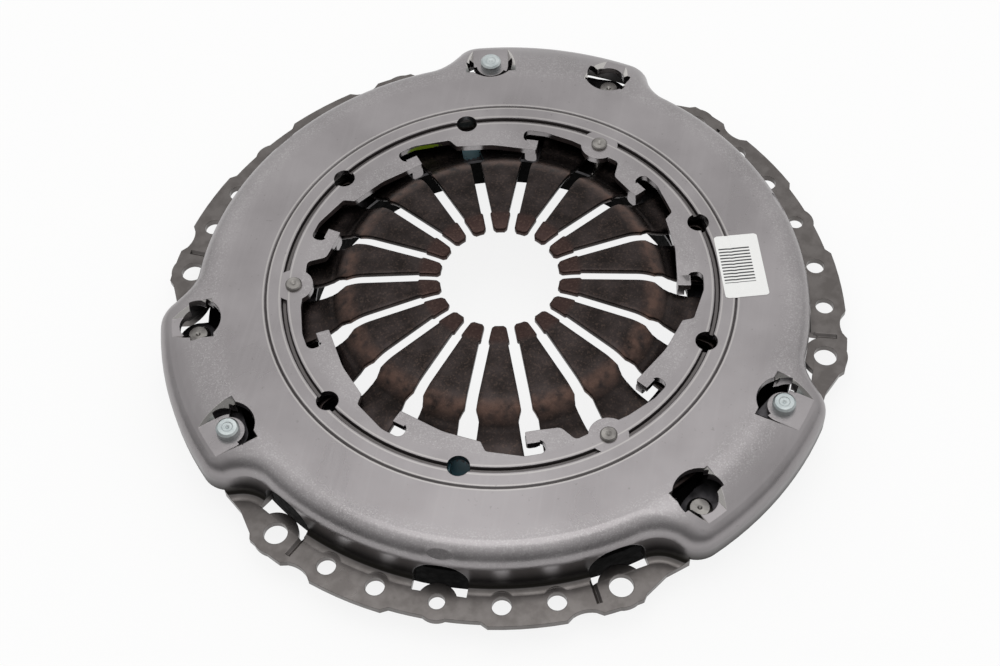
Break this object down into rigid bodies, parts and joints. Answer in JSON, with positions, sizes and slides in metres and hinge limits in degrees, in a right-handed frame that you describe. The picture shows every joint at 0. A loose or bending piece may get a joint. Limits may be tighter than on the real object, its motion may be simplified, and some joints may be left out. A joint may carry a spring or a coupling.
{
  "type": "clutch pressure plate",
  "caption": "Pressed steel clutch cover with a slotted diaphragm spring, a sprung cast pressure plate on leaf springs and a wear adjuster ring.",
  "frame": {"origin": "centre of the bolt circle, on the underside of the cover's bolting flange", "axes": "+Z along the clutch's axis towards the release bearing; -Y through the dowel hole of the bolting segment nearest the camera"},
  "size_m": [0.2732, 0.2692, 0.0369],
  "materials": {
    "cover_steel": "bare deep-drawn sheet, satin, oiled",
    "spring_steel": "hardened and tempered, dark brown oxide, shot peened",
    "blued_steel": "tempered strip, dark",
    "stamped_steel": "stamped, oiled",
    "zinc": "zinc plated, dull",
    "rivet_steel": "cold headed, plain",
    "iron": "grey iron casting, friction face ground"
  },
  "bodies": {
    "cover": {"cover": "cover_steel", "diaphragm_spring": "spring_steel", "sensor_spring": "blued_steel", "ramp_track": "stamped_steel", "adjuster_spring_1": "blued_steel", "adjuster_spring_2": "blued_steel", "adjuster_spring_3": "blued_steel", "sensor_bolt_1": "rivet_steel", "sensor_bolt_2": "rivet_steel", "sensor_bolt_3": "rivet_steel", "leaf_spring_1_upper": "blued_steel", "leaf_spring_1_lower": "blued_steel", "leaf_spring_2_upper": "blued_steel", "leaf_spring_2_lower": "blued_steel", "leaf_spring_3_upper": "blued_steel", "leaf_spring_3_lower": "blued_steel", "cover_rivet_1": "zinc", "cover_rivet_2": "zinc", "cover_rivet_3": "zinc"},
    "pressure_plate": {"pressure_plate": "iron", "plate_rivet_1": "rivet_steel", "plate_rivet_2": "rivet_steel", "plate_rivet_3": "rivet_steel"},
    "adjuster_ring": {"adjuster_ring": "stamped_steel"}
  },
  "joints": [
    {"name": "plate_lift", "type": "slide", "parent": "cover", "child": "pressure_plate", "axis": [0, 0, 1], "range_m": [0, 0.0018], "stiffness_N_per_m": 30000, "springref_m": -0.003, "deforming": ["diaphragm_spring", "leaf_spring_1_upper", "leaf_spring_1_lower", "leaf_spring_2_upper", "leaf_spring_2_lower", "leaf_spring_3_upper", "leaf_spring_3_lower"]},
    {"name": "ring_turn", "type": "hinge", "parent": "cover", "child": "adjuster_ring", "pos_m": [0, 0, 0], "axis": [0, 0, 1], "range_deg": [0, 14], "deforming": ["adjuster_spring_1", "adjuster_spring_2", "adjuster_spring_3"]}
  ]
}
